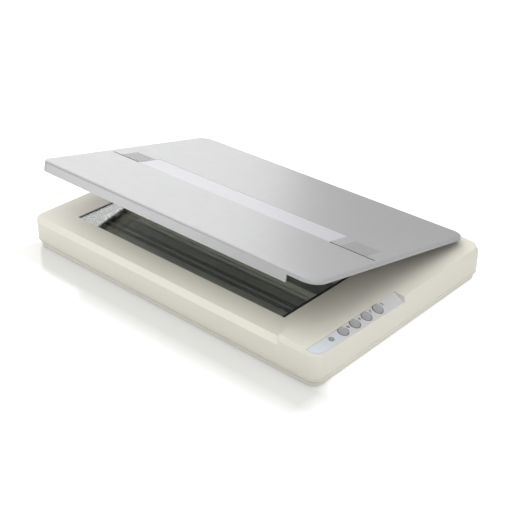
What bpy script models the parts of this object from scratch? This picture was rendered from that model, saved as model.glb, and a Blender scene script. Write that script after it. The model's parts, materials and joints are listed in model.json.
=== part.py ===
"""A large-format flatbed document scanner, with its lid opened a little.

Metres, +Z up. +X runs to the right along the long front side, +Y to the back. The origin is
the centre of the footprint, on the surface that the feet stand on. Each sub-part is one closed
object. Lid pieces hang on an empty at the hinge axis, so they are given in the closed position
and turned by LID_OPEN.
"""

import math

import bmesh
import bpy

# Driving dimensions
CASE_WIDTH = 0.589
CASE_DEPTH = 0.397
CASE_CORNER = 0.016
CASE_WALL = 0.0025
GAP = 0.0003

FLOOR_Z = 0.0015
FLOOR_TOP = 0.004
PARTING_Z = 0.014
BEVEL_Z = 0.043
DECK_Z = 0.052
DECK_UNDERSIDE = DECK_Z - CASE_WALL
BEVEL_DEPTH = 0.0065

SLOPE_X = 0.203
CREASE_X = 0.228
WALL_X = 0.2268
CREASE_Z = 0.0605

WINDOW_LEFT, WINDOW_RIGHT = -0.235, 0.200
WINDOW_FRONT, WINDOW_BACK = -0.153, 0.150
GLASS_TOP = 0.0505
GLASS_THICK = 0.003
GLASS_LAP = 0.008

PANEL_X = 0.275
PANEL_FRONT, PANEL_REAR = -0.1965, -0.005
PANEL_THICK = 0.0008
BUTTON_X = 0.2825
BUTTON_YS = (-0.1295, -0.104, -0.0785, -0.053)
BUTTON_RADIUS = 0.0072
BUTTON_HOLE = BUTTON_RADIUS + 0.0004
LIGHT_Y = -0.1545
LIGHT_RADIUS = 0.003

LID_OPEN = math.radians(12.2)
HINGE_Y, HINGE_Z = 0.188, 0.058
HINGE_XS = (-0.170, 0.170)
KNUCKLE_RADIUS = 0.005
PIN_RADIUS = 0.002
PIN_PLAY = 0.0001
LID_LEFT, LID_RIGHT = -0.280, 0.274
LID_FRONT, LID_BACK = -0.1915, 0.180
LID_TOP = 0.0695
LID_SKIRT_Z = 0.0525
LID_RIM_Z = 0.0635
LID_SKIN = 0.0022
SEAM_Y = -0.0515
STRIP_DEPTH = 0.045

CARRIAGE_X = -0.262
ROD_Y, ROD_Z, ROD_RADIUS = -0.057, 0.018, 0.004
BELT_Y, BELT_LOW, BELT_HIGH = -0.085, 0.010, 0.016
PULLEY_RADIUS = 0.0059
DRIVE_X, IDLER_X = 0.236, -0.280
GEAR_TEETH, PINION_TEETH, GEAR_MODULE = 48, 12, 0.0008
GEAR_LOW, GEAR_HIGH = 0.019, 0.023

HALF_W, HALF_D = CASE_WIDTH / 2, CASE_DEPTH / 2
SCREW_SPOTS = [(x, y) for x in (-0.252, 0.010, 0.240) for y in (-0.180, 0.172)]
FOOT_SPOTS = [(x, y) for x in (-0.255, 0.255) for y in (-0.150, 0.150)]


# Materials: name, colour, roughness, metallic
def material(name, colour, roughness=0.5, metallic=0.0, transmission=0.0):
    made = bpy.data.materials.new(name)
    made.use_nodes = True
    shader = made.node_tree.nodes["Principled BSDF"]
    shader.inputs["Base Color"].default_value = (*colour, 1)
    shader.inputs["Roughness"].default_value = roughness
    shader.inputs["Metallic"].default_value = metallic
    shader.inputs["Transmission Weight"].default_value = transmission
    made.diffuse_color = (*colour, 1)
    return made


# Mesh builders: each adds one closed shell, faces out, to a bmesh
def outline(left, right, front, back, radii, steps=4):
    """A rounded rectangle seen from above, counter-clockwise; radii start at the front left corner."""
    corners = (
        (left, front, 1, 1, 180),
        (right, front, -1, 1, 270),
        (right, back, -1, -1, 0),
        (left, back, 1, -1, 90),
    )
    points = []
    for (x, y, side_x, side_y, start), radius in zip(corners, radii):
        for step in range(steps + 1):
            angle = math.radians(start + 90 * step / steps)
            centre_x, centre_y = x + side_x * radius, y + side_y * radius
            points.append((centre_x + radius * math.cos(angle), centre_y + radius * math.sin(angle)))
    return points


def at_height(points, z):
    return [(x, y, z) for x, y in points]


def add_loft(bm, rings):
    """Rings with equal counts, counter-clockwise about the direction they follow."""
    rows = [[bm.verts.new(point) for point in ring] for ring in rings]
    count = len(rows[0])
    for low, high in zip(rows, rows[1:]):
        for i in range(count):
            j = (i + 1) % count
            bm.faces.new((low[i], low[j], high[j], high[i]))
    bm.faces.new(rows[0][::-1])
    bm.faces.new(rows[-1])


def add_box(bm, left, right, front, back, low, high):
    corners = [(left, front), (right, front), (right, back), (left, back)]
    add_loft(bm, [at_height(corners, low), at_height(corners, high)])


def add_drum(bm, x, y, profile, segments=20):
    """A turned shape about a vertical axis; profile lists (radius, z) upwards."""
    turns = [2 * math.pi * i / segments for i in range(segments)]
    add_loft(bm, [[(x + r * math.cos(a), y + r * math.sin(a), z) for a in turns] for r, z in profile])


def add_bar(bm, y, z, radius, left, right, segments=20):
    """A round bar along X."""
    turns = [2 * math.pi * i / segments for i in range(segments)]
    ring = [(y + radius * math.cos(a), z + radius * math.sin(a)) for a in turns]
    add_loft(bm, [[(x, b, c) for b, c in ring] for x in (left, right)])


def add_slab_x(bm, profile, left, right):
    """A (y, z) outline, counter-clockwise seen from +X, drawn along X."""
    add_loft(bm, [[(x, y, z) for y, z in profile] for x in (left, right)])


def add_slab_y(bm, profile, front, back):
    """An (x, z) outline, counter-clockwise seen from the front, drawn along Y."""
    add_loft(bm, [[(x, y, z) for x, z in profile] for y in (back, front)])


def add_case_ring(bm, levels, inset=0.0):
    """Stacked outlines of the case: each level is z and its left, right, front and back insets."""
    rings = []
    for z, left, right, front, back in levels:
        corner = max(CASE_CORNER - inset, 0.002)
        ring = outline(
            -HALF_W + inset + left,
            HALF_W - inset - right,
            -HALF_D + inset + front,
            HALF_D - inset - back,
            [corner] * 4,
        )
        rings.append(at_height(ring, z))
    add_loft(bm, rings)


def add_coil(bm, centre, axis, length, radius, wire, turns, steps=12, sides=6):
    """A round-wire coil with its axis along x or z, its ends closed flat."""
    rings = []
    count = turns * steps
    for i in range(count + 1):
        angle = 2 * math.pi * i / steps
        along = (i / count - 0.5) * (length - 2 * wire)
        ring = []
        for side in range(sides):
            turn = 2 * math.pi * side / sides
            r = radius + wire * math.cos(turn)
            rise = along + wire * math.sin(turn)
            if axis == "z":
                ring.append((r * math.cos(angle), r * math.sin(angle), rise))
            else:
                ring.append((rise, r * math.cos(angle), r * math.sin(angle)))
        rings.append([tuple(c + p for c, p in zip(centre, point)) for point in ring])
    add_loft(bm, rings[::-1])


def gear_ring(teeth, module):
    """A spur gear's outline about the origin, four points to a tooth."""
    pitch = teeth * module / 2
    tip, root = pitch + 0.85 * module, pitch - 1.1 * module
    shape = ((-0.38, root), (-0.13, tip), (0.13, tip), (0.38, root))
    return [
        (radius * math.cos(angle), radius * math.sin(angle))
        for tooth in range(teeth)
        for share, radius in shape
        for angle in [2 * math.pi * (tooth + share) / teeth]
    ]


# Objects
def place(name, bm, look, origin=(0, 0, 0), parent=None):
    """Turns a bmesh into an object whose origin is the given point."""
    bmesh.ops.translate(bm, verts=bm.verts, vec=[-c for c in origin])
    mesh = bpy.data.meshes.new(name)
    bm.to_mesh(mesh)
    bm.free()
    made = bpy.data.objects.new(name, mesh)
    made.location = origin
    bpy.context.scene.collection.objects.link(made)
    if look:
        mesh.materials.append(look)
        mesh.shade_smooth()
        mesh.set_sharp_from_angle(angle=math.radians(35))
    if parent:
        made.parent = parent
        made.location = [c - p for c, p in zip(origin, HINGE)]
    return made


def shape(name, look, builder, *args, origin=(0, 0, 0), parent=None, **options):
    """One object from one call of a mesh builder."""
    bm = bmesh.new()
    builder(bm, *args, **options)
    return place(name, bm, look, origin, parent)


def helper(name, bm, parent=None):
    made = place(name, bm, None, parent=parent)
    made.hide_render = True
    made.display_type = "WIRE"
    return made


def boolean(target, tool, operation="DIFFERENCE"):
    modifier = target.modifiers.new(tool.name, "BOOLEAN")
    modifier.operation = operation
    modifier.object = tool


def ramp(value, start, end, first, last):
    share = (value - start) / (end - start)
    return first + share * (last - first)


def panel_z(x, y):
    """The control panel's surface: it tips outwards, and more so towards the back."""
    inner = ramp(y, PANEL_FRONT, PANEL_REAR, 0.0572, 0.0566)
    outer = ramp(y, PANEL_FRONT, PANEL_REAR, 0.0550, 0.0470)
    return ramp(x, PANEL_X, HALF_W, inner, outer)


def panel_stations(front, back):
    """Steps along the panel, closer together where its front corner is round."""
    corner = [front + step for step in (0, 0.0007, 0.0021, 0.0042, 0.0084, 0.0133)]
    run = 16
    return corner + [ramp(i, 0, run, corner[-1], back) for i in range(1, run + 1)]


def add_ports(bm, spare):
    """The two socket openings in the rear wall."""
    for left, right in PORT_SPANS:
        add_box(bm, left - spare, right + spare, 0.190, 0.202, 0.0134, 0.0254)


def add_panel_holes(bm):
    """Round holes for the buttons and the light, through the panel and the case below it."""
    holes = [(y, BUTTON_HOLE, 24) for y in BUTTON_YS] + [(LIGHT_Y, LIGHT_RADIUS + GAP, 16)]
    for y, radius, segments in holes:
        add_drum(bm, BUTTON_X, y, [(radius, 0.040), (radius, 0.065)], segments)


# Along Y, where the foot of the slope beside the window lies; it steepens into a wall at both ends
SLOPE_STATIONS = (
    (-0.210, WALL_X),
    (-0.189, WALL_X),
    (WINDOW_FRONT, SLOPE_X),
    (WINDOW_BACK, SLOPE_X),
    (0.176, WALL_X),
    (0.210, WALL_X),
)
PORT_SPANS = ((0.2500, 0.2620), (0.2680, 0.2780))
HINGE = (0, HINGE_Y, HINGE_Z)


# Sub-parts of the base
def lower_case(look):
    bm = bmesh.new()
    outside = [(FLOOR_Z, 0.0035), (0.006, 0.0035), (0.012, 0), (PARTING_Z, 0)]
    levels = outside + [(PARTING_Z, 0.0028), (0.018, 0.0028)]
    add_case_ring(bm, [(z, s, s, s, s) for z, s in levels])
    case = place("lower_case", bm, look)

    bm = bmesh.new()
    levels = [(FLOOR_TOP, 0.0062), (0.0065, 0.0062), (0.0105, 0.0042), (0.022, 0.0042)]
    add_case_ring(bm, [(z, s, s, s, s) for z, s in levels])
    boolean(case, helper("cut_tray", bm))

    bm = bmesh.new()
    sunk = FLOOR_TOP - 0.0005
    for x in (-0.285, 0.222):
        add_box(bm, x - 0.003, x + 0.003, ROD_Y - 0.006, ROD_Y + 0.006, sunk, 0.0057)
    for x, y in ((0.2500, 0.046), (0.2500, 0.172), (0.2840, 0.046), (0.2840, 0.172)):
        add_drum(bm, x, y, [(0.003, sunk), (0.003, 0.0117)], 12)
    for y in (-0.140, -0.070):
        add_box(bm, 0.277, 0.281, y - 0.004, y + 0.004, sunk, 0.0327)
    add_box(bm, -0.2397, -0.2370, BELT_Y - 0.003, BELT_Y + 0.003, sunk, 0.0090)
    boolean(case, helper("join_floor_posts", bm), "UNION")

    bm = bmesh.new()
    for x, y in SCREW_SPOTS:
        add_drum(bm, x, y, [(0.0035, 0), (0.0035, 0.0030), (0.0018, 0.0030), (0.0018, 0.0045)], 16)
    for x, y in FOOT_SPOTS:
        add_drum(bm, x, y, [(0.0083, 0), (0.0083, 0.0025)], 24)
    add_ports(bm, 0.0004)
    boolean(case, helper("cut_lower_holes", bm))
    return case


def upper_case(look):
    bm = bmesh.new()
    levels = [
        (PARTING_Z + 0.0004, 0, 0, 0, 0),
        (BEVEL_Z, 0, 0, 0, 0),
        (0.048, 0.0010, 0, 0, 0.0010),
        (0.0508, 0.0028, 0.0004, 0.0004, 0.0028),
        (DECK_Z, 0.0055, 0.0006, 0.0006, 0.0050),
        (0.0625, 0.0060, 0.0024, 0.0030, 0.0064),
    ]
    add_case_ring(bm, levels)
    case = place("upper_case", bm, look)

    bm = bmesh.new()
    rings = []
    for y, foot in SLOPE_STATIONS:
        low = [(-0.31, DECK_Z), (foot, DECK_Z), (CREASE_X, CREASE_Z), (0.31, 0.05535)]
        rings.append([(x, y, z) for x, z in [*low, (0.31, 0.08), (-0.31, 0.08)]])
    add_loft(bm, rings[::-1])
    boolean(case, helper("cut_deck", bm))

    bm = bmesh.new()
    slope = (DECK_Z - BEVEL_Z) / BEVEL_DEPTH
    bevel = [
        (-0.21, BEVEL_Z - slope * (0.21 - HALF_D)),
        (-HALF_D + BEVEL_DEPTH, DECK_Z),
        (-0.192, 0.07),
        (-0.21, 0.07),
    ]
    add_slab_x(bm, bevel, -0.31, CREASE_X)
    window = outline(WINDOW_LEFT, WINDOW_RIGHT, WINDOW_FRONT, WINDOW_BACK, [0.0005] * 4, 1)
    lap = GLASS_LAP + 0.0005
    pocket = outline(
        WINDOW_LEFT - lap, WINDOW_RIGHT + lap, WINDOW_FRONT - lap, WINDOW_BACK + lap, [0.0005] * 4, 1
    )
    ledge = GLASS_TOP + GAP
    steps = ((pocket, 0.040), (pocket, ledge), (window, ledge), (window, 0.058))
    add_loft(bm, [at_height(ring, z) for ring, z in steps])
    boolean(case, helper("cut_bevel_and_window", bm))

    bm = bmesh.new()
    room = [
        (0.010, 0, 0.021, 0, 0),
        (0.040, 0, 0.021, 0, 0),
        (DECK_UNDERSIDE, 0.0050, 0.021, 0.0050, 0.0045),
    ]
    add_case_ring(bm, room, CASE_WALL)
    boolean(case, helper("cut_room", bm))

    bm = bmesh.new()
    add_slab_y(bm, [(0.231, 0.0490), (0.271, 0.0490), (0.271, 0.0538), (0.231, 0.0570)], -0.189, 0.189)
    front, back = -HALF_D + CASE_WALL, HALF_D - CASE_WALL
    side = outline(0.2580, HALF_W - CASE_WALL, front, back, [0.0005, 0.0135, 0.0135, 0.0005])
    add_loft(bm, [at_height(side, 0.010), at_height(side, 0.042)])
    boolean(case, helper("cut_right_room", bm))

    bm = bmesh.new()
    for x, y in SCREW_SPOTS:
        ceiling = 0.0505 if x < CREASE_X else 0.0580
        add_drum(bm, x, y, [(0.0045, FLOOR_TOP + 0.0009), (0.0045, ceiling)], 14)
    boolean(case, helper("join_screw_pillars", bm), "UNION")

    bm = bmesh.new()
    for x, y in SCREW_SPOTS:
        add_drum(bm, x, y, [(0.0018, 0.001), (0.0018, 0.018)], 16)
    add_panel_holes(bm)
    for x in HINGE_XS:
        add_box(bm, x - 0.0075, x + 0.0075, HINGE_Y - 0.0026, HINGE_Y + 0.0026, 0.045, 0.056)
    add_ports(bm, 0.0004)
    boolean(case, helper("cut_upper_holes", bm))

    bm = bmesh.new()
    rings = []
    for y in [-0.205, *panel_stations(PANEL_FRONT, PANEL_REAR)]:
        depth = PANEL_THICK + GAP
        low = [(x, panel_z(x, y) - depth) for x in (PANEL_X, 0.302)]
        rings.append([(x, y, z) for x, z in [*low, (0.302, 0.08), (PANEL_X, 0.08)]])
    add_loft(bm, rings[::-1])
    boolean(case, helper("cut_panel_seat", bm))
    return case


def scan_glass(look):
    width = (WINDOW_LEFT - GLASS_LAP, WINDOW_RIGHT + GLASS_LAP)
    depth = (WINDOW_FRONT - GLASS_LAP, WINDOW_BACK + GLASS_LAP)
    shape("scan_glass", look, add_box, *width, *depth, GLASS_TOP - GLASS_THICK, GLASS_TOP)


def calibration_strip(look):
    """A thin white target under the glass, behind the left end of the window."""
    shape("calibration_strip", look, add_box, -0.2580, -0.2440, -0.150, 0.147, 0.0480, 0.0492)


def control_panel(overlay_look, light_look, button_look):
    right, front, corner = 0.2930, PANEL_FRONT + 0.0006, 0.0140
    bm = bmesh.new()
    rings = []
    for y in panel_stations(front, PANEL_REAR - GAP):
        into = max(corner - (y - front), 0)
        edge = right - corner + math.sqrt(max(corner**2 - into**2, 0))
        low = [(x, y, panel_z(x, y) - PANEL_THICK) for x in (PANEL_X + GAP, edge)]
        high = [(x, y, panel_z(x, y)) for x in (edge, PANEL_X + GAP)]
        rings.append(low + high)
    add_loft(bm, rings[::-1])
    overlay = place("control_panel_overlay", bm, overlay_look)
    bm = bmesh.new()
    add_panel_holes(bm)
    boolean(overlay, helper("cut_panel_holes", bm))

    for number, y in enumerate(BUTTON_YS, 1):
        bm = bmesh.new()
        add_cap(bm, y, BUTTON_RADIUS, 0.0400, 0.0010, 24)
        button = place(f"button_{number}", bm, button_look, (BUTTON_X, y, 0.0400))
        bm = bmesh.new()
        stem = [(0.002, 0.0362), (0.002, 0.0395), (0.0085, 0.0395), (0.0085, 0.0405)]
        add_drum(bm, BUTTON_X, y, stem, 16)
        boolean(button, helper(f"join_button_{number}_flange", bm), "UNION")
    bm = bmesh.new()
    add_cap(bm, LIGHT_Y, LIGHT_RADIUS, 0.0360, 0.0003, 16)
    place("status_light", bm, light_look)


def add_cap(bm, y, radius, low, proud, segments):
    """An upright plunger at the panel, its top following the panel's slope."""
    top = ((1, proud - 0.0005), (0.93, proud), (0.75, proud - 0.0001), (0.3, proud - 0.0003))
    rings = []
    for share, rise in ((1, None), *top):
        ring = []
        for i in range(segments):
            angle = 2 * math.pi * i / segments
            px = BUTTON_X + share * radius * math.cos(angle)
            py = y + share * radius * math.sin(angle)
            ring.append((px, py, low if rise is None else panel_z(px, py) + rise))
        rings.append(ring)
    add_loft(bm, rings)


def optics(frame_look, bar_look, glass_look, roller_look, spring_look, bush_look):
    x = CARRIAGE_X
    frame = shape("carriage_frame", frame_look, add_box, x - 0.013, x + 0.013, -0.170, 0.165, 0.024, 0.038)
    bm = bmesh.new()
    add_box(bm, x - 0.0115, x + 0.0115, -0.168, 0.163, 0.027, 0.040)
    boolean(frame, helper("cut_carriage_tray", bm))
    shape("sensor_bar", bar_look, add_box, x - 0.009, x + 0.009, -0.163, 0.158, 0.0330, 0.0455)
    shape("sensor_window", glass_look, add_box, x - 0.006, x + 0.006, -0.155, 0.150, 0.0458, 0.0469)
    for end, y in (("front", -0.160), ("rear", 0.155)):
        shape(f"glass_roller_{end}", roller_look, add_bar, y, 0.0465, 0.0007, x - 0.005, x + 0.005, 12)
    for end, y in (("front", -0.120), ("rear", 0.115)):
        shape(f"sensor_spring_{end}", spring_look, add_coil, (x, y, 0.030), "z", 0.0054, 0.0035, 0.00045, 3)
    bush_box = (x - 0.014, x + 0.014, ROD_Y - 0.008, ROD_Y + 0.008, 0.0118, 0.0237)
    bush = shape("rod_bushing", bush_look, add_box, *bush_box)
    bm = bmesh.new()
    add_bar(bm, ROD_Y, ROD_Z, ROD_RADIUS + GAP, x - 0.016, x + 0.016)
    boolean(bush, helper("cut_bushing_bore", bm))
    clamp = shape("belt_clamp", bush_look, add_box, x - 0.008, x + 0.008, -0.0835, -0.0725, 0.0097, 0.0237)
    bm = bmesh.new()
    add_box(bm, x - 0.010, x + 0.010, -0.0792, -0.0772, 0.009, 0.0164)
    boolean(clamp, helper("cut_clamp_slot", bm))


def guides(rod_look, clamp_look, rail_look):
    shape("guide_rod", rod_look, add_bar, ROD_Y, ROD_Z, ROD_RADIUS, -0.2885, 0.2245)
    for side, x in (("left", -0.285), ("right", 0.222)):
        clamp_box = (x - 0.0032, x + 0.0032, ROD_Y - 0.007, ROD_Y + 0.007, 0.006, 0.0245)
        clamp = shape(f"rod_clamp_{side}", clamp_look, add_box, *clamp_box)
        bm = bmesh.new()
        add_bar(bm, ROD_Y, ROD_Z, ROD_RADIUS + GAP, x - 0.005, x + 0.005)
        boolean(clamp, helper(f"cut_rod_clamp_{side}", bm))
    shape("support_rail", rail_look, add_box, -0.285, 0.2215, 0.1400, 0.1450, FLOOR_TOP + GAP, 0.0237)


def drive(motor_look, gear_look, pulley_look, steel_look, belt_look):
    pitch = GEAR_MODULE / 2 * (GEAR_TEETH + PINION_TEETH)
    motor_x = DRIVE_X + pitch
    bm = bmesh.new()
    add_drum(bm, motor_x, BELT_Y, [(0.015, FLOOR_TOP + GAP), (0.015, 0.0180)], 28)
    motor = place("stepper_motor", bm, motor_look)
    bm = bmesh.new()
    add_box(bm, motor_x - 0.005, motor_x + 0.005, BELT_Y - 0.021, BELT_Y + 0.021, 0.0168, 0.0184)
    boolean(motor, helper("join_motor_ears", bm), "UNION")
    bm = bmesh.new()
    add_drum(bm, motor_x, BELT_Y, [(0.001, 0.0160), (0.001, 0.0240)], 12)
    boolean(motor, helper("join_motor_shaft", bm), "UNION")

    half_step = math.pi / PINION_TEETH
    for name, x, teeth, turn, bore in (
        ("motor_gear", motor_x, PINION_TEETH, half_step, 0.0013),
        ("drive_gear", DRIVE_X, GEAR_TEETH, 0.0, 0.0018),
    ):
        ring = gear_ring(teeth, GEAR_MODULE)
        cos, sin = math.cos(turn), math.sin(turn)
        ring = [(x + a * cos - b * sin, BELT_Y + a * sin + b * cos) for a, b in ring]
        bm = bmesh.new()
        add_loft(bm, [at_height(ring, GEAR_LOW), at_height(ring, GEAR_HIGH)])
        gear = place(name, bm, gear_look, (x, BELT_Y, GEAR_LOW))
        if name == "drive_gear":
            bm = bmesh.new()
            add_drum(bm, x, BELT_Y, pulley_profile(GEAR_LOW + 0.0005), 24)
            boolean(gear, helper("join_drive_pulley", bm), "UNION")
        bm = bmesh.new()
        add_drum(bm, x, BELT_Y, [(bore, 0.004), (bore, 0.030)], 12)
        boolean(gear, helper(f"cut_{name}_bore", bm))
    shaft = [(0.0015, FLOOR_TOP + GAP), (0.0015, 0.0250)]
    shape("gear_shaft", steel_look, add_drum, DRIVE_X, BELT_Y, shaft, 14)

    wheel = (IDLER_X, BELT_Y, pulley_profile(0.0178), 24)
    idler = shape("idler_pulley", pulley_look, add_drum, *wheel, origin=(IDLER_X, BELT_Y, 0.013))
    bm = bmesh.new()
    add_drum(bm, IDLER_X, BELT_Y, [(0.0021, 0.004), (0.0021, 0.030)], 14)
    boolean(idler, helper("cut_idler_bore", bm))
    plate = (-0.2865, -0.2625, BELT_Y - 0.007, BELT_Y + 0.007, FLOOR_TOP + GAP, 0.0063)
    bracket = shape("idler_bracket", steel_look, add_box, *plate)
    bm = bmesh.new()
    add_drum(bm, IDLER_X, BELT_Y, [(0.0018, 0.0055), (0.0018, 0.0192)], 14)
    boolean(bracket, helper("join_idler_pin", bm), "UNION")
    bm = bmesh.new()
    add_box(bm, -0.2642, -0.2625, BELT_Y - 0.004, BELT_Y + 0.004, 0.0055, 0.0092)
    boolean(bracket, helper("join_bracket_tab", bm), "UNION")
    coil = ((-0.2511, BELT_Y, 0.0067), "x", 0.0218, 0.0019, 0.0004, 12)
    shape("tension_spring", steel_look, add_coil, *coil, steps=8, sides=5)

    inner, outer = PULLEY_RADIUS + GAP, PULLEY_RADIUS + 0.0015
    steps = 12
    rims = []
    for radius in (outer, inner):
        ring = []
        for centre, start in ((DRIVE_X, -90), (IDLER_X, 90)):
            for i in range(steps + 1):
                angle = math.radians(start + 180 * i / steps)
                ring.append((centre + radius * math.cos(angle), BELT_Y + radius * math.sin(angle)))
        rims.append(ring)
    rings = [at_height(rims[0], z) for z in (BELT_LOW, BELT_HIGH)]
    belt = shape("drive_belt", belt_look, add_loft, rings)
    bm = bmesh.new()
    add_loft(bm, [at_height(rims[1], z) for z in (BELT_LOW - 0.001, BELT_HIGH + 0.001)])
    boolean(belt, helper("cut_belt_loop", bm))


def pulley_profile(top):
    """A flanged belt pulley from just over the floor posts up to the given height."""
    flange = PULLEY_RADIUS + 0.0021
    return [
        (flange, 0.0082),
        (flange, BELT_LOW - GAP),
        (PULLEY_RADIUS, BELT_LOW - GAP),
        (PULLEY_RADIUS, BELT_HIGH + GAP),
        (flange, BELT_HIGH + GAP),
        (flange, top),
    ]


def electronics(board_look, metal_look, jack_look, cable_look):
    shape("main_board", board_look, add_box, 0.2465, 0.2860, 0.040, 0.1880, 0.0120, 0.0136)
    shape("button_board", board_look, add_box, 0.2750, 0.2900, -0.162, -0.035, 0.0330, 0.0346)
    usb_left, usb_right = PORT_SPANS[0]
    usb = shape("usb_port", metal_look, add_box, usb_left, usb_right, 0.1815, 0.1965, 0.0140, 0.0250)
    bm = bmesh.new()
    add_box(bm, usb_left + 0.0015, usb_right - 0.0015, 0.1865, 0.199, 0.0155, 0.0235)
    boolean(usb, helper("cut_usb_socket", bm))
    jack_left, jack_right = PORT_SPANS[1]
    jack = shape("power_jack", jack_look, add_box, jack_left, jack_right, 0.1815, 0.1965, 0.0140, 0.0250)
    bm = bmesh.new()
    centre, middle, radius, turns = (jack_left + jack_right) / 2, 0.0195, 0.0031, 20
    angles = [2 * math.pi * i / turns for i in range(turns)]
    ring = [(centre + radius * math.cos(a), middle + radius * math.sin(a)) for a in angles]
    add_slab_y(bm, ring, 0.1860, 0.199)
    boolean(jack, helper("cut_power_socket", bm))

    half, low = 0.007, FLOOR_TOP + GAP
    thick = 0.0005
    fold_x, bend = -0.030, 0.0045
    lower = [(0.245, 0.0120), (0.238, low), (fold_x, low)]
    turns = [math.radians(degrees) for degrees in range(30, 180, 30)]
    arc = [(fold_x - bend * math.sin(a), low + bend - bend * math.cos(a)) for a in turns]
    upper = [(fold_x, low + 2 * bend), (-0.235, low + 2 * bend), (-0.244, 0.0225), (-0.252, 0.0232)]
    path = lower + arc + upper
    bm = bmesh.new()
    add_ribbon(bm, path, thick, -0.004 - half, -0.004 + half)
    place("flat_cable", bm, cable_look)


def add_ribbon(bm, path, thick, front, back):
    """A flat strip of the given thickness along an (x, z) path."""
    near, far = [], []
    for i, (x, z) in enumerate(path):
        before, after = path[max(i - 1, 0)], path[min(i + 1, len(path) - 1)]
        run, rise = after[0] - before[0], after[1] - before[1]
        length = math.hypot(run, rise)
        near.append((x, z))
        far.append((x + thick * rise / length, z - thick * run / length))
    rows = []
    for y in (front, back):
        rows.append([[bm.verts.new((x, y, z)) for x, z in side] for side in (near, far)])
    (fn, ff), (bn, bf) = rows
    for i in range(len(path) - 1):
        bm.faces.new((fn[i], fn[i + 1], bn[i + 1], bn[i]))
        bm.faces.new((ff[i + 1], ff[i], bf[i], bf[i + 1]))
        bm.faces.new((fn[i + 1], fn[i], ff[i], ff[i + 1]))
        bm.faces.new((bn[i], bn[i + 1], bf[i + 1], bf[i]))
    bm.faces.new((fn[0], bn[0], bf[0], ff[0]))
    bm.faces.new((fn[-1], ff[-1], bf[-1], bn[-1]))
    bmesh.ops.recalc_face_normals(bm, faces=bm.faces)


def feet_and_screws(rubber_look, screw_look):
    for number, (x, y) in enumerate(FOOT_SPOTS, 1):
        profile = [(0.0070, 0), (0.0080, 0.0008), (0.0080, 0.0022)]
        shape(f"rubber_foot_{number}", rubber_look, add_drum, x, y, profile, 24)
    for number, (x, y) in enumerate(SCREW_SPOTS, 1):
        profile = [(0.0031, 0.0018), (0.0031, 0.0027), (0.0015, 0.0027), (0.0015, 0.0160)]
        shape(f"case_screw_{number}", screw_look, add_drum, x, y, profile, 14)


# The lid and its hinges, drawn closed
def lid_outline(inset, steps=5):
    radii = [max(radius - inset, 0.001) for radius in (0.016, 0.022, 0.022, 0.022)]
    return outline(LID_LEFT + inset, LID_RIGHT - inset, LID_FRONT + inset, LID_BACK - inset, radii, steps)


def lid(hinge, shell_look, strip_look, panel_look, foam_look, sheet_look):
    levels = [(LID_SKIRT_Z, 0), (LID_TOP - 0.0030, 0), (LID_TOP - 0.0008, 0.0008), (LID_TOP, 0.0030)]
    rings = [at_height(lid_outline(inset), z) for z, inset in levels]
    shell = shape("lid_shell", shell_look, add_loft, rings, origin=HINGE, parent=hinge)

    ceiling = LID_TOP - LID_SKIN
    bm = bmesh.new()
    add_loft(bm, [at_height(lid_outline(LID_SKIN), z) for z in (0.048, ceiling)])
    boolean(shell, helper("cut_lid_room", bm, hinge))
    bm = bmesh.new()
    edge, notch = WALL_X - 0.0006, 0.2100
    raised = [(edge, -0.21), (0.29, -0.21), (0.29, 0.20), (notch, 0.20), (notch, 0.165), (edge, 0.165)]
    add_loft(bm, [at_height(raised, z) for z in (0.048, LID_RIM_Z)])
    for x in HINGE_XS:
        add_box(bm, x - 0.0142, x + 0.0142, 0.1745, 0.184, 0.048, ceiling)
    strip_left, strip_right = -0.206, 0.187
    add_box(bm, strip_left, strip_right, SEAM_Y, SEAM_Y + STRIP_DEPTH, LID_TOP - 0.0011, 0.075)
    for left, right in ((-0.268, strip_left - 0.001), (strip_right + 0.001, 0.266)):
        add_box(bm, left, right, SEAM_Y - 0.0007, SEAM_Y + 0.0007, LID_TOP - 0.0011, 0.075)
    boolean(shell, helper("cut_lid_openings", bm, hinge))

    def lid_box(name, look, *spans):
        shape(name, look, add_box, *spans, origin=HINGE, parent=hinge)

    edges = (strip_left + GAP, strip_right - GAP, SEAM_Y + GAP, SEAM_Y + STRIP_DEPTH - GAP)
    lid_box("lid_label_strip", strip_look, *edges, LID_TOP - 0.0008, LID_TOP - 0.0001)
    inner = outline(-0.2730, 0.2220, -0.1885, 0.1730, (0.0100, 0.0010, 0.0010, 0.0200))
    rings = [at_height(inner, z) for z in (0.0600, 0.0618)]
    shape("lid_inner_panel", panel_look, add_loft, rings, origin=HINGE, parent=hinge)
    lid_box("foam_pad", foam_look, -0.2330, 0.1980, -0.1510, 0.1480, 0.0523, 0.0597)
    lid_box("white_sheet", sheet_look, -0.2330, 0.1980, -0.1510, 0.1480, 0.0510, 0.0520)


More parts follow.
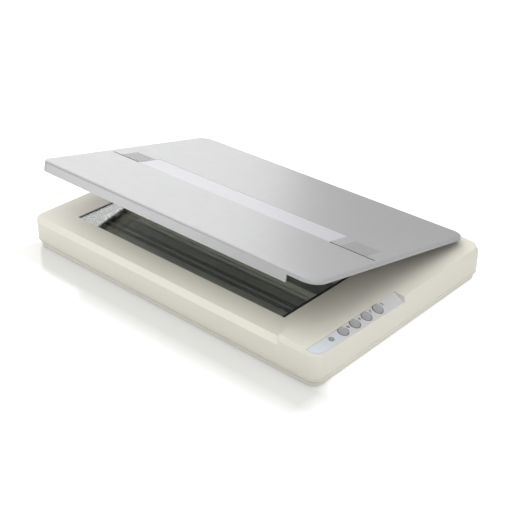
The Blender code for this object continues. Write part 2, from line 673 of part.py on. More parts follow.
def hinges(hinge, arm_look, pin_look, post_look):
    for side, x in zip(("left", "right"), HINGE_XS):
        lug = [(0.1740, 0.0622)]
        for angle in range(-135, 61, 15):
            a = math.radians(angle)
            lug.append((HINGE_Y + KNUCKLE_RADIUS * math.cos(a), HINGE_Z + KNUCKLE_RADIUS * math.sin(a)))
        lug.append((0.1740, 0.0668))
        plate = (x - 0.0138, x + 0.0138, 0.140, 0.176, 0.0622, 0.0668)
        arm = shape(f"hinge_arm_{side}", arm_look, add_box, *plate, origin=HINGE, parent=hinge)
        bm = bmesh.new()
        for left, right in ((x - 0.0138, x - 0.0085), (x + 0.0085, x + 0.0138)):
            add_slab_x(bm, lug, left, right)
        boolean(arm, helper(f"join_hinge_lugs_{side}", bm, hinge), "UNION")
        bm = bmesh.new()
        add_bar(bm, HINGE_Y, HINGE_Z, PIN_RADIUS + PIN_PLAY, x - 0.016, x + 0.016, 16)
        boolean(arm, helper(f"cut_hinge_arm_{side}", bm, hinge))

        pin = (HINGE_Y, HINGE_Z, PIN_RADIUS, x - 0.0145, x + 0.0145, 16)
        shape(f"hinge_pin_{side}", pin_look, add_bar, *pin)
        knuckle = (HINGE_Y, HINGE_Z, KNUCKLE_RADIUS, x - 0.008, x + 0.008, 24)
        post = shape(f"hinge_post_{side}", post_look, add_bar, *knuckle)
        bm = bmesh.new()
        add_box(bm, x - 0.0080, x + 0.0080, HINGE_Y - 0.004, HINGE_Y + 0.004, DECK_Z + 0.0004, 0.0565)
        boolean(post, helper(f"join_post_shoulder_{side}", bm), "UNION")
        bm = bmesh.new()
        add_box(bm, x - 0.0070, x + 0.0070, HINGE_Y - 0.002, HINGE_Y + 0.002, 0.0260, 0.0550)
        boolean(post, helper(f"join_post_stem_{side}", bm), "UNION")
        bm = bmesh.new()
        add_box(bm, x - 0.0070, x + 0.0070, HINGE_Y - 0.0045, HINGE_Y + 0.0035, 0.0240, 0.0265)
        boolean(post, helper(f"join_post_catch_{side}", bm), "UNION")
        bm = bmesh.new()
        add_bar(bm, HINGE_Y, HINGE_Z, PIN_RADIUS + PIN_PLAY, x - 0.010, x + 0.010, 16)
        boolean(post, helper(f"cut_hinge_post_{side}", bm))


def main():
    for old in list(bpy.data.objects):
        bpy.data.objects.remove(old, do_unlink=True)

    hinge = bpy.data.objects.new("lid_hinge", None)
    hinge.location = HINGE
    hinge.rotation_euler = (-LID_OPEN, 0, 0)
    bpy.context.scene.collection.objects.link(hinge)

    case_white = material("case_white", (0.66, 0.64, 0.55), 0.45)
    lid_grey = material("lid_grey", (0.55, 0.55, 0.56), 0.40)
    black_plastic = material("black_plastic", (0.03, 0.03, 0.03), 0.55)
    acetal = material("acetal", (0.80, 0.79, 0.74), 0.45)
    steel = material("steel", (0.60, 0.60, 0.62), 0.25, 1.0)
    board = material("circuit_board", (0.03, 0.20, 0.08), 0.45)
    rubber = material("rubber", (0.02, 0.02, 0.02), 0.85)

    lower_case(case_white)
    upper_case(case_white)
    scan_glass(material("clear_glass", (0.90, 0.95, 0.93), 0.02, 0.0, 0.95))
    calibration_strip(material("target_white", (0.85, 0.85, 0.84), 0.6))
    control_panel(
        material("panel_film", (0.50, 0.50, 0.51), 0.35),
        material("light_lens", (0.20, 0.45, 0.25), 0.2),
        material("button_grey", (0.32, 0.32, 0.34), 0.45),
    )
    optics(
        black_plastic,
        material("sensor_black", (0.02, 0.02, 0.02), 0.4),
        material("sensor_glass", (0.10, 0.14, 0.13), 0.05),
        acetal,
        steel,
        acetal,
    )
    guides(steel, acetal, acetal)
    drive(material("motor_can", (0.45, 0.45, 0.46), 0.35, 1.0), acetal, acetal, steel, rubber)
    electronics(board, material("port_steel", (0.62, 0.62, 0.60), 0.3, 1.0), black_plastic,
                material("ribbon_cable", (0.75, 0.75, 0.72), 0.5))
    feet_and_screws(rubber, material("screw_zinc", (0.50, 0.48, 0.42), 0.35, 1.0))
    lid(
        hinge,
        lid_grey,
        material("strip_light", (0.72, 0.71, 0.66), 0.45),
        case_white,
        material("foam_white", (0.75, 0.75, 0.73), 0.9),
        material("sheet_white", (0.88, 0.88, 0.87), 0.5),
    )
    hinges(hinge, case_white, steel, case_white)


main()
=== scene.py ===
# %% [markdown]
# # A large-format flatbed document scanner
#
# A wide, shallow case holds a glass plate and a sensor carriage, and a thin lid hinges along the back. The solid
# model already fixes every size and every moving part, so this lesson only makes the surfaces: rounded mouldings,
# glass, steel, rubber and film. Each piece rides on the body that carries it, so it moves with the real joints.

# %% Load the solid frame
import json
import math

import bmesh
import bpy
from mathutils import Matrix, Vector


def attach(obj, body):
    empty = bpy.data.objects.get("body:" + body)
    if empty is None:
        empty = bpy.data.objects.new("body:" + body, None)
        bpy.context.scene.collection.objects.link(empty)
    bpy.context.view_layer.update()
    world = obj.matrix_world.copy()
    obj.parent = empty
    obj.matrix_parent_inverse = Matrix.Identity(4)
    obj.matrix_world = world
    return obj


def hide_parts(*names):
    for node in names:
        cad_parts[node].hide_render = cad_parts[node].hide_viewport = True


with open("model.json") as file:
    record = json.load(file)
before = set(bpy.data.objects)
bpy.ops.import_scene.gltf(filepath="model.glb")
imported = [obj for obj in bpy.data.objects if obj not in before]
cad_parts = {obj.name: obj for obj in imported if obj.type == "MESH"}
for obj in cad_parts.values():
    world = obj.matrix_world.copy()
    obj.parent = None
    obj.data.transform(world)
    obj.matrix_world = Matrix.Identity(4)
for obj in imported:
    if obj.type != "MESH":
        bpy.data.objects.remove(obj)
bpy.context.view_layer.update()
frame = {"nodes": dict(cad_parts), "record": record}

bodies_of = {node: body for body, nodes in frame["record"]["behaviour"]["bodies"].items() for node in nodes}
slots_of = {row["node"]: row["material_slot"] for row in frame["record"]["subparts"]}

# %% [markdown]
# ## Camera and light
#
# A product shot looks down on the scanner from its front right corner through a long lens, which keeps the sides
# nearly parallel. A very large softbox overhead gives most of the light. A small low one at the front left brightens
# that end of the front face, one behind the camera and one at the right fill the sides that they face, and a tall one
# at the back left gives the glass and the lid something bright to reflect.

# %% Camera
VIEW_AZIMUTH = math.radians(42.2)
VIEW_ELEVATION = math.radians(29.9)
VIEW_DISTANCE = 1.600
AIM = Vector((0.0363, -0.0295, 0.0324))

toward = Vector((
    math.sin(VIEW_AZIMUTH) * math.cos(VIEW_ELEVATION),
    -math.cos(VIEW_AZIMUTH) * math.cos(VIEW_ELEVATION),
    math.sin(VIEW_ELEVATION),
))
camera = bpy.data.objects.new("camera", bpy.data.cameras.new("camera"))
camera.data.sensor_width = 36
camera.data.lens = 73.5
camera.location = AIM + VIEW_DISTANCE * toward
camera.rotation_euler = toward.to_track_quat("Z", "Y").to_euler()
bpy.context.scene.collection.objects.link(camera)
bpy.context.scene.camera = camera
bpy.context.scene.view_settings.view_transform = "Standard"
print("camera at", [round(c, 3) for c in camera.location])


# %% Lights
def softbox(name, place, size, watts, aim=(0, 0, 0.03)):
    lamp = bpy.data.lights.new(name, "AREA")
    lamp.shape = "RECTANGLE"
    lamp.size, lamp.size_y = size
    lamp.energy = watts
    held = bpy.data.objects.new(name, lamp)
    held.location = place
    held.rotation_euler = (Vector(place) - Vector(aim)).to_track_quat("Z", "Y").to_euler()
    bpy.context.scene.collection.objects.link(held)
    return held


softbox("front_left_softbox", (-0.85, -1.05, 0.12), (0.5, 0.2), 4.2)
softbox("camera_side_softbox", tuple(3.0 * toward), (1.2, 1.0), 13)
softbox("overhead_softbox", (0.25, -0.35, 1.50), (2.2, 2.2), 36)
softbox("right_softbox", (1.9, 0.0, 0.35), (1.0, 0.6), 4)
softbox("back_card", (-1.50, 1.18, 0.95), (1.4, 1.9), 20)

# The room is dim to the scanner, and white to the camera
world = bpy.data.worlds.new("studio")
world.use_nodes = True
room = world.node_tree
room.nodes["Background"].inputs["Color"].default_value = (1.0, 1.0, 1.0, 1)
seen = room.nodes.new("ShaderNodeMapRange")
seen.inputs["To Min"].default_value, seen.inputs["To Max"].default_value = 0.33, 1.0
room.links.new(room.nodes.new("ShaderNodeLightPath").outputs["Is Camera Ray"], seen.inputs["Value"])
room.links.new(seen.outputs["Result"], room.nodes["Background"].inputs["Strength"])
bpy.context.scene.world = world
print("five softboxes and a white room")


# %% [markdown]
# ## Shader maths that reads like arithmetic
#
# A finish is a small graph of nodes. Wrapping one output in a class with Python's operators lets a line such as
# `1 - mask * 0.3` add its Math nodes by itself, and one method makes every other kind of node. Numbers that are
# the same everywhere go straight on the shader's own sockets.

# %% Shader helpers
class Flow:
    """One output of a node tree; arithmetic on it adds Math nodes."""

    def __init__(self, finish, socket):
        self.finish, self.socket = finish, socket

    def math(self, operation, first, second):
        return self.finish.node("ShaderNodeMath", {"operation": operation}, {0: first, 1: second})

    def __add__(self, other):
        return self.math("ADD", self, other)

    def __radd__(self, other):
        return self.math("ADD", other, self)

    def __sub__(self, other):
        return self.math("SUBTRACT", self, other)

    def __rsub__(self, other):
        return self.math("SUBTRACT", other, self)

    def __mul__(self, other):
        return self.math("MULTIPLY", self, other)

    def __rmul__(self, other):
        return self.math("MULTIPLY", other, self)

    def __truediv__(self, other):
        return self.math("DIVIDE", self, other)

    def __rtruediv__(self, other):
        return self.math("DIVIDE", other, self)

    def __pow__(self, other):
        return self.math("POWER", self, other)

    def __gt__(self, other):
        return self.math("GREATER_THAN", self, other)


class Finish:
    """A material with one Principled shader, and a method that adds any other node."""

    def __init__(self, name, colour, roughness, **constants):
        self.material = bpy.data.materials.new(name)
        self.material.use_nodes = True
        self.tree = self.material.node_tree
        self.shader = self.tree.nodes["Principled BSDF"]
        self.set(self.shader, "Base Color", (*colour, 1))
        self.set(self.shader, "Roughness", roughness)
        for key, value in constants.items():
            self.set(self.shader, key.replace("_", " ").title().replace("Ior", "IOR"), value)

    def set(self, node, socket, value):
        if isinstance(value, Flow):
            self.tree.links.new(value.socket, node.inputs[socket])
        elif isinstance(value, tuple) and len(value) == 3 and node.inputs[socket].type == "RGBA":
            node.inputs[socket].default_value = (*value, 1)
        else:
            node.inputs[socket].default_value = value

    def node(self, kind, settings=None, inputs=None, output=0):
        made = self.tree.nodes.new(kind)
        for key, value in (settings or {}).items():
            if key == "stops":
                ramp = made.color_ramp
                while len(ramp.elements) < len(value):
                    ramp.elements.new(0.5)
                for element, (position, colour) in zip(ramp.elements, value):
                    element.position, element.color = position, (*colour, 1)
            else:
                setattr(made, key, value)
        for socket, value in (inputs or {}).items():
            self.set(made, socket, value)
        return Flow(self, made.outputs[output])

    def place(self):
        """Where a point lies, in metres."""
        return self.node("ShaderNodeTexCoord", output="Object")

    def axis(self, letter):
        return self.node("ShaderNodeSeparateXYZ", inputs={0: self.place()}, output=letter)

    def noise(self, per_metre, detail=2.0, stretch=(1, 1, 1)):
        where = self.node("ShaderNodeMapping", inputs={"Vector": self.place(), "Scale": stretch})
        return self.node("ShaderNodeTexNoise", inputs={"Vector": where, "Scale": per_metre, "Detail": detail})

    def blend(self, factor, first, second):
        """A colour mix; sockets 6 and 7 are the two colours and output 2 is the result."""
        return self.node("ShaderNodeMix", {"data_type": "RGBA"}, {0: factor, 6: first, 7: second}, output=2)

    def math(self, operation, value):
        return self.node("ShaderNodeMath", {"operation": operation}, {0: value})

    def colour(self, value):
        self.set(self.shader, "Base Color", value)
        return self

    def rough(self, value):
        self.set(self.shader, "Roughness", value)
        return self

    def grain(self, height, strength, distance):
        bump = self.node("ShaderNodeBump", inputs={"Height": height, "Strength": strength, "Distance": distance})
        self.set(self.shader, "Normal", bump)
        return self


def shade(colour, factor):
    return tuple(channel * factor for channel in colour)


print("shader helpers ready")

# %% [markdown]
# ## Moulded plastics
#
# The case is warm white styrene from a spark-eroded mould, which leaves a very fine, even pebble. Noise at about a
# millimetre gives the pebble, a slower noise drifts the tone a little as ageing and handling do, and a sparse
# speckle stands for dust. The lid is a neutral grey with a finer, glossier surface.

# %% Case, lid and trim plastics
DUST = 0.4


def moulded_plastic(name, colour, roughness, pebble=900, depth=0.00012, drift=0.035):
    finish = Finish(name, colour, roughness, specular_ior_level=0.45)
    slow = finish.noise(7, 3)
    speck = finish.noise(420, 1) ** 6 * DUST
    tone = finish.blend(slow, shade(colour, 1 - drift), shade(colour, 1 + drift))
    finish.colour(finish.blend(speck, tone, shade(colour, 0.72)))
    finish.rough(roughness - 0.05 + 0.10 * finish.noise(60, 2))
    finish.grain(finish.noise(pebble, 2), 0.30, depth)
    return finish.material


CASE_TONE = (0.560, 0.544, 0.478)
LID_TONE = (0.285, 0.285, 0.289)
finishes = {
    "case_white": moulded_plastic("case_white", CASE_TONE, 0.50),
    "lid_grey": moulded_plastic("lid_grey", LID_TONE, 0.34, pebble=1400, depth=0.00006),
    "strip_light": moulded_plastic("strip_light", (0.395, 0.392, 0.415), 0.40, pebble=1400, depth=0.00006),
    "acetal": moulded_plastic("acetal", (0.74, 0.73, 0.67), 0.40, pebble=500, depth=0.00004),
    "black_plastic": moulded_plastic("black_plastic", (0.022, 0.022, 0.023), 0.48, drift=0.15),
    "sensor_black": moulded_plastic("sensor_black", (0.015, 0.015, 0.016), 0.40, drift=0.15),
    "button_grey": moulded_plastic("button_grey", (0.285, 0.285, 0.298), 0.40, pebble=1800, depth=0.00004),
    "sheet_white": moulded_plastic("sheet_white", (0.80, 0.80, 0.79), 0.45, pebble=700, depth=0.00003),
    "target_white": moulded_plastic("target_white", (0.78, 0.78, 0.77), 0.60),
}
print("moulded plastics:", ", ".join(finishes))

# %% [markdown]
# ## Metal, glass, rubber and film
#
# Drawn steel carries fine lines along its length, so the noise that drives roughness and bump is stretched along
# one axis. The scan window is a true glass that lets lamp light through to what lies beneath it. Rubber is dark
# and dry with a faint bloom, and foam is made of cells, which a Voronoi pattern gives.

# %% Metals
def drawn_steel(name, colour, roughness, stretch):
    finish = Finish(name, colour, roughness, metallic=1.0)
    lines = finish.noise(900, 2, stretch)
    finish.colour(finish.blend(lines, shade(colour, 0.86), shade(colour, 1.08)))
    finish.rough(roughness - 0.06 + 0.16 * lines)
    finish.grain(lines, 0.15, 0.00005)
    return finish.material


finishes["steel"] = drawn_steel("steel", (0.50, 0.49, 0.45), 0.50, (0.03, 1, 1))
finishes["motor_can"] = drawn_steel("motor_can", (0.47, 0.47, 0.48), 0.34, (1, 1, 0.05))
finishes["port_steel"] = drawn_steel("port_steel", (0.62, 0.61, 0.58), 0.30, (1, 0.05, 1))
finishes["screw_zinc"] = drawn_steel("screw_zinc", (0.52, 0.49, 0.41), 0.36, (1, 1, 0.3))
print("metals ready")


# %% Glass
def clear_glass():
    finish = Finish("clear_glass", (0.93, 0.97, 0.95), 0.02, transmission_weight=1.0, ior=1.5)
    lamp_ray = finish.node("ShaderNodeLightPath", output="Is Shadow Ray")
    through = finish.node("ShaderNodeBsdfTransparent", inputs={"Color": (0.86, 0.90, 0.88, 1)})
    pane = Flow(finish, finish.shader.outputs[0])
    both = finish.node("ShaderNodeMixShader", inputs={0: lamp_ray, 1: pane, 2: through})
    out = finish.tree.nodes["Material Output"]
    finish.tree.links.new(both.socket, out.inputs["Surface"])
    return finish.material


finishes["clear_glass"] = clear_glass()
finishes["sensor_glass"] = Finish("sensor_glass", (0.10, 0.11, 0.12), 0.08, coat_weight=0.6).material
print("glass ready")


# %% Rubber, foam, film and board
def soft_rubber():
    finish = Finish("rubber", (0.022, 0.022, 0.022), 0.72, specular_ior_level=0.3)
    bloom = finish.noise(90, 4)
    finish.colour(finish.blend(bloom, (0.014, 0.014, 0.014), (0.040, 0.040, 0.039)))
    finish.rough(0.62 + 0.2 * bloom)
    finish.grain(finish.noise(1200, 2), 0.35, 0.0001)
    return finish.material


def open_foam():
    finish = Finish("foam_white", (0.70, 0.70, 0.67), 0.95, specular_ior_level=0.2)
    cells = finish.node("ShaderNodeTexVoronoi", inputs={"Vector": finish.place(), "Scale": 900.0})
    finish.colour(finish.blend(cells, (0.60, 0.60, 0.56), (0.76, 0.76, 0.73)))
    finish.grain(cells, 0.6, 0.0004)
    return finish.material


def panel_film():
    """Satin grey film that turns a little bluer towards the front corner."""
    finish = Finish("panel_film", (0.47, 0.465, 0.475), 0.32, coat_weight=0.15)
    front = (-0.110 - finish.axis("Y")) / 0.085
    front = finish.node("ShaderNodeClamp", inputs={0: front})
    tone = finish.blend(front, (0.455, 0.448, 0.452), (0.50, 0.55, 0.60))
    finish.colour(finish.blend(finish.noise(30, 2) * 0.35, tone, (0.52, 0.52, 0.53)))
    finish.rough(0.27 + 0.1 * finish.noise(200, 2))
    finish.grain(finish.noise(2200, 1), 0.12, 0.00003)
    return finish.material


def circuit_board():
    """Green solder mask, with paler copper tracks on a fine grid."""
    finish = Finish("circuit_board", (0.02, 0.13, 0.05), 0.35, coat_weight=0.3)
    tracks = finish.node(
        "ShaderNodeTexVoronoi", {"distance": "MANHATTAN"}, {"Vector": finish.place(), "Scale": 260.0}
    )
    finish.colour(finish.blend((tracks > 0.42) * 0.8, (0.018, 0.115, 0.045), (0.05, 0.22, 0.09)))
    finish.rough(0.30 + 0.12 * finish.noise(300, 2))
    finish.grain(tracks > 0.42, 0.2, 0.00003)
    return finish.material


def ribbon():
    """Flat cable: a grey skin over parallel wires, so it is striped along its run."""
    finish = Finish("ribbon_cable", (0.50, 0.50, 0.48), 0.42)
    wire = finish.math("FRACT", finish.axis("Y") * 1000)
    finish.colour(finish.blend(wire > 0.62, (0.58, 0.58, 0.55), (0.34, 0.34, 0.32)))
    finish.grain(wire, 0.4, 0.0002)
    return finish.material


finishes["ribbon_cable"] = ribbon()
finishes["rubber"] = soft_rubber()
finishes["foam_white"] = open_foam()
finishes["panel_film"] = panel_film()
finishes["circuit_board"] = circuit_board()
finishes["light_lens"] = moulded_plastic("light_lens", (0.22, 0.29, 0.25), 0.15, pebble=300, depth=0.00002)
ink = moulded_plastic("ink", (0.045, 0.05, 0.055), 0.45, depth=0.00001)
shadow_black = moulded_plastic("shadow_black", (0.006, 0.006, 0.006), 0.7)
copper = drawn_steel("copper", (0.72, 0.42, 0.24), 0.34, (1, 1, 0.05))
print("finishes in all:", len(finishes) + 3)


# %% [markdown]
# ## Rounding what comes out of a mould
#
# No moulded edge is sharp, and it is the thin highlight along a rounded edge that tells the eye a part is real.
# Where the solid's shape is already right, its faces are merged back into whole flats and a bevel runs round its
# edges: about half a millimetre on the case and the lid, and less on small fittings. A slight fold between two large
# flats stays a crease, so that neither of them shades unevenly. The rounded shell then stands in for the plain solid.

# %% Rounded copies of the solids
SHARP_ANGLE = math.radians(35)
SAME_FLAT = math.radians(0.6)
CREASE_ANGLE = math.radians(7)
LARGE_FACE = 4e-4  # square metres


def add_piece(name, mesh, material, body):
    piece = bpy.data.objects.new(name, mesh)
    bpy.context.scene.collection.objects.link(piece)
    mesh.materials.clear()
    mesh.materials.append(material)
    mesh.shade_smooth()
    mesh.set_sharp_from_angle(angle=SHARP_ANGLE)
    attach(piece, body)
    return piece


def bevel(piece, width, steps, degrees):
    cut = piece.modifiers.new("rounded_edges", "BEVEL")
    cut.width, cut.segments = width, steps
    cut.limit_method = "ANGLE"
    cut.angle_limit = math.radians(degrees)
    cut.miter_outer = "MITER_ARC"
    flats = piece.modifiers.new("even_flats", "WEIGHTED_NORMAL")
    flats.keep_sharp = True
    flats.weight = 90
    return piece


def is_crease(edge):
    """An edge between two large flats, which shows as a line even where they meet at a small angle."""
    faces = edge.link_faces
    return (
        len(faces) == 2
        and min(face.calc_area() for face in faces) > LARGE_FACE
        and edge.calc_face_angle() > CREASE_ANGLE
    )


def rounded(node, width, steps, degrees):
    """The solid of one node with its flats made whole and its edges rounded."""
    bm = bmesh.new()
    bm.from_mesh(frame["nodes"][node].data)
    bmesh.ops.remove_doubles(bm, verts=bm.verts, dist=1e-6)
    bmesh.ops.join_triangles(
        bm, faces=bm.faces, angle_face_threshold=SAME_FLAT, angle_shape_threshold=math.pi
    )
    bm.verts.index_update()
    creases = {frozenset(vert.index for vert in edge.verts) for edge in bm.edges if is_crease(edge)}
    mesh = bpy.data.meshes.new(f"{node}_surface")
    bm.to_mesh(mesh)
    bm.free()
    slot = slots_of[node]
    piece = add_piece(f"{node}_surface", mesh, finishes[slot], bodies_of[node])
    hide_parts(node)
    for edge in mesh.edges:
        if frozenset(edge.vertices) in creases:
            edge.use_edge_sharp = True
    return bevel(piece, width, steps, degrees)


mouldings = {"upper_case": (0.0006, 3, 28), "lower_case": (0.0004, 2, 28), "lid_shell": (0.0005, 3, 28)}
for node, (width, steps, degrees) in mouldings.items():
    rounded(node, width, steps, degrees)

built_later = ("button_", "case_screw", "rubber_foot", "sensor_spring", "tension_spring", "foam_pad")
fittings = [
    node
    for node in frame["nodes"]
    if node not in mouldings and (node == "button_board" or not node.startswith(built_later))
]
for node in fittings:
    rounded(node, 0.0001 if node.endswith("_gear") else 0.0002, 2, 40)

# At full size the pinion's teeth cut into the drive gear's at the end of the travel, so it is drawn smaller across
PINION_SCALE = 0.94
pinion_axis = Matrix.Translation((0.260, -0.085, 0))
smaller = pinion_axis @ Matrix.Diagonal((PINION_SCALE, PINION_SCALE, 1, 1)) @ pinion_axis.inverted()
bpy.data.objects["motor_gear_surface"].data.transform(smaller)
print("rounded:", len(mouldings) + len(fittings))

# %% [markdown]
# ## Small pieces from three tools
#
# Almost every fitting is a block, a turned profile or a swept outline. Three short functions add those to a mesh,
# and `assemble` closes the mesh, puts it in place and gives it a finish. A group of like details is one mesh, since
# a moulder would cut them in one tool as well.

# %% Building tools
def block(bm, low, high):
    corners = bmesh.ops.create_cube(bm, size=1)["verts"]
    bmesh.ops.scale(bm, vec=[b - a for a, b in zip(low, high)], verts=corners)
    bmesh.ops.translate(bm, vec=[(a + b) / 2 for a, b in zip(low, high)], verts=corners)


def circle(radius, steps, height=0.0):
    turns = [math.tau * i / steps for i in range(steps)]
    return [Vector((radius * math.cos(turn), radius * math.sin(turn), height)) for turn in turns]


def join_rings(bm, rings, steps):
    """Skin between rings of `steps` points, where a ring of one point closes the end."""
    for low, high in zip(rings, rings[1:]):
        for i in range(steps):
            j = (i + 1) % steps
            around = [low[i % len(low)], low[j % len(low)], high[j % len(high)], high[i % len(high)]]
            bm.faces.new(list(dict.fromkeys(around)))
    for ring in (rings[0], rings[-1]):
        if len(ring) > 2:
            bm.faces.new(ring)


def turned(bm, place, profile, steps=32):
    """Turn (radius, height) pairs about the Z axis of `place`."""
    rings = []
    for radius, height in profile:
        spots = circle(radius, steps if radius else 1, height)
        rings.append([bm.verts.new(place @ spot) for spot in spots])
    join_rings(bm, rings, steps)


def swept(bm, path, radius, steps=10):
    """A round wire along a path of points."""
    rings = []
    for i, spot in enumerate(path):
        along = (path[min(i + 1, len(path) - 1)] - path[max(i - 1, 0)]).normalized()
        place = Matrix.Translation(spot) @ along.to_track_quat("Z", "Y").to_matrix().to_4x4()
        rings.append([bm.verts.new(place @ point) for point in circle(radius, steps)])
    join_rings(bm, rings, steps)


def assemble(name, bm, material, body, place=None, width=0.0, instead_of=()):
    bmesh.ops.recalc_face_normals(bm, faces=bm.faces)
    if place:
        bm.transform(place)
    mesh = bpy.data.meshes.new(name)
    bm.to_mesh(mesh)
    bm.free()
    piece = add_piece(name, mesh, material, body)
    if instead_of:
        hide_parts(*instead_of)
    return bevel(piece, width, 2, 40) if width else piece


def at(x, y, z, tip=0.0):
    """A place in the object, tipped about X by so many degrees."""
    return Matrix.Translation((x, y, z)) @ Matrix.Rotation(math.radians(tip), 4, "X")


print("tools ready")

# %% [markdown]
# ## The lid's top
#
# The lid is drawn closed and then turned about its hinge line, so its sizes stay easy to read. Beyond each end of
# the pale strip a slot marks the fold line, with a patch of raised dots behind it that gives the fingers a hold.
# Black fills laid level with the lid's surface stand for the shade inside the slots, as painted shade.

# %% Lid top details
LID_TOP, LID_OPENING = 0.0694, 12.2  # metres when shut, and degrees as drawn
hinge_line = Vector((0, 0.188, 0.058))
opened = Matrix.Rotation(math.radians(-LID_OPENING), 4, "X")
lid_place = Matrix.Translation(hinge_line) @ opened @ Matrix.Translation(-hinge_line)

DOT_COLUMNS, DOT_ROWS, DOT_PITCH = 15, 12, 0.0030
dot_profile = [(0.00095, 0), (0.00070, 0.00045), (0, 0.00060)]
bm = bmesh.new()
for side in (-1, 1):
    for column in range(DOT_COLUMNS):
        for row in range(DOT_ROWS):
            x = side * (0.2275 + (column - DOT_COLUMNS // 2) * DOT_PITCH)
            turned(bm, at(x, -0.0485 + row * DOT_PITCH, LID_TOP), dot_profile, 10)
dot_grey = moulded_plastic("dot_grey", (0.215, 0.215, 0.220), 0.45, depth=0.00002)
assemble("lid_grip_dots", bm, dot_grey, "lid", lid_place)

# Painted shade: black fills at the lid's surface stand for the shadow inside the slots and along two thin lines
# behind them.
bm = bmesh.new()
for left, right in ((-0.2675, -0.2075), (0.1885, 0.2655)):
    block(bm, (left, -0.0526, 0.0684), (right, -0.0504, 0.06957))
for x in (-0.20585, 0.18685):
    block(bm, (x - 0.00012, -0.0513, 0.0684), (x + 0.00012, -0.0067, 0.0692))
assemble("lid_fold_slots", bm, shadow_black, "lid", lid_place)
print("grip dots:", 2 * DOT_COLUMNS * DOT_ROWS)

# %% [markdown]
# ## Under the lid
#
# A white sheet is held flat against the page by a foam pad, which is thickest in the middle and rounds off at its
# edges. A frame of shallow ribs stiffens the inner panel round the pad, and four screws hold each hinge arm.

# %% Foam pad
PAD_ACROSS, PAD_ALONG = 44, 30


def pillow(bm, left, right, front, back, low, high, crown, corner):
    """A pad with a flat top at `high` and an under side that bulges by `crown` and rounds off at the edges."""
    under, over = [], []
    for i in range(PAD_ACROSS + 1):
        under.append([])
        over.append([])
        for j in range(PAD_ALONG + 1):
            u, v = i / PAD_ACROSS, j / PAD_ALONG
            x, y = left + (right - left) * u, front + (back - front) * v
            turn = min(min(x - left, right - x, y - front, back - y) / corner, 1.0)
            lift = 1 - math.sqrt(max(1 - (1 - turn) ** 2, 0))
            swell = crown * math.sqrt(16 * u * (1 - u) * v * (1 - v))
            under[i].append(bm.verts.new((x, y, low + (high - low) * 0.42 * lift - swell)))
            over[i].append(bm.verts.new((x, y, high)))
    for rows in (under, over):
        for i in range(PAD_ACROSS):
            for j in range(PAD_ALONG):
                bm.faces.new((rows[i][j], rows[i + 1][j], rows[i + 1][j + 1], rows[i][j + 1]))
    rim = [(i, 0) for i in range(PAD_ACROSS)] + [(PAD_ACROSS, j) for j in range(PAD_ALONG)]
    rim += [(i, PAD_ALONG) for i in range(PAD_ACROSS, 0, -1)] + [(0, j) for j in range(PAD_ALONG, 0, -1)]
    for (a, b), (c, d) in zip(rim, rim[1:] + rim[:1]):
        bm.faces.new((under[a][b], under[c][d], over[c][d], over[a][b]))


bm = bmesh.new()
pillow(bm, -0.2330, 0.1980, -0.1510, 0.1480, low=0.0526, high=0.0598, crown=0.0003, corner=0.0035)
pad = assemble(
    "foam_pad_body", bm, finishes["foam_white"], "lid", lid_place, instead_of=("foam_pad",)
)
print("pad crowned")

# %% Ribs and hinge screws
bm = bmesh.new()
for left, right, front, back in (
    (-0.2680, 0.2170, -0.1700, -0.1685),
    (-0.2680, 0.2170, -0.1600, -0.1585),
    (-0.2680, 0.2170, 0.1560, 0.1575),
    (-0.2690, -0.2675, -0.1700, 0.1575),
    (-0.2480, -0.2465, -0.1585, 0.1560),
    (0.2105, 0.2120, -0.1585, 0.1560),
):
    block(bm, (left, front, 0.0588), (right, back, 0.0602))
assemble("lid_ribs", bm, finishes["case_white"], "lid", lid_place, 0.0003)


def cross_screw(bm, place, radius, height):
    """A pan head with a cross recess, its face up the place's Z axis."""
    steps = 32
    arm, half_slot, depth = radius * 0.62, radius * 0.17, min(height * 0.8, 0.0011)
    profile = ((radius, 0), (radius, height * 0.35), (radius * 0.93, height * 0.75), (radius * 0.80, height))
    rings = [[bm.verts.new(place @ spot) for spot in circle(r, steps, z)] for r, z in profile]
    join_rings(bm, rings, steps)
    rim = rings[-1]
    bm.faces.remove(next(face for face in rim[0].link_faces if set(face.verts) == set(rim)))
    cross = []
    for quarter in range(4):
        turn = Matrix.Rotation(math.tau * quarter / 4, 4, "Z")
        cross += [turn @ Vector((x, y, 0)) for x, y in ((arm, -half_slot), (arm, half_slot), (half_slot, half_slot))]
    lip = [bm.verts.new(place @ (spot + Vector((0, 0, height)))) for spot in cross]
    pit = [bm.verts.new(place @ (spot * 0.8 + Vector((0, 0, height - depth)))) for spot in cross]
    lip_edges = [bm.edges.new(pair) for pair in zip(lip, lip[1:] + lip[:1])]
    rim_edges = [bm.edges.get(pair) for pair in zip(rim, rim[1:] + rim[:1])]
    bmesh.ops.bridge_loops(bm, edges=lip_edges + rim_edges)
    for a, b, c, d in zip(lip, lip[1:] + lip[:1], pit[1:] + pit[:1], pit):
        bm.faces.new((a, b, c, d))
    bm.faces.new(pit)


bm = bmesh.new()
for x in (-0.170, 0.170):
    for aside in (-0.008, 0.008):
        for y in (0.150, 0.164):
            cross_screw(bm, at(x + aside, y, 0.0623, 180), 0.0026, 0.0013)
assemble("hinge_screws", bm, finishes["screw_zinc"], "lid", lid_place)
print("ribs: 6, hinge screws: 8")

# %% [markdown]
# ## Control panel
#
# Four dished buttons sit in dark rings, each with a small printed picture behind it: pages, lines, an envelope and
# a disk. The panel tips outwards, and more so towards the back, so every mark takes its height from the same slope
# as the film.

# %% Panel slope, rings and marks
BUTTON_X, BUTTON_YS, LIGHT_Y = 0.2825, (-0.1295, -0.1040, -0.0785, -0.0530), -0.1545
BUTTON_RADIUS, FLANGE_TOP, RING_STEPS = 0.0072, 0.0405, 48
MARK_X = 0.2800


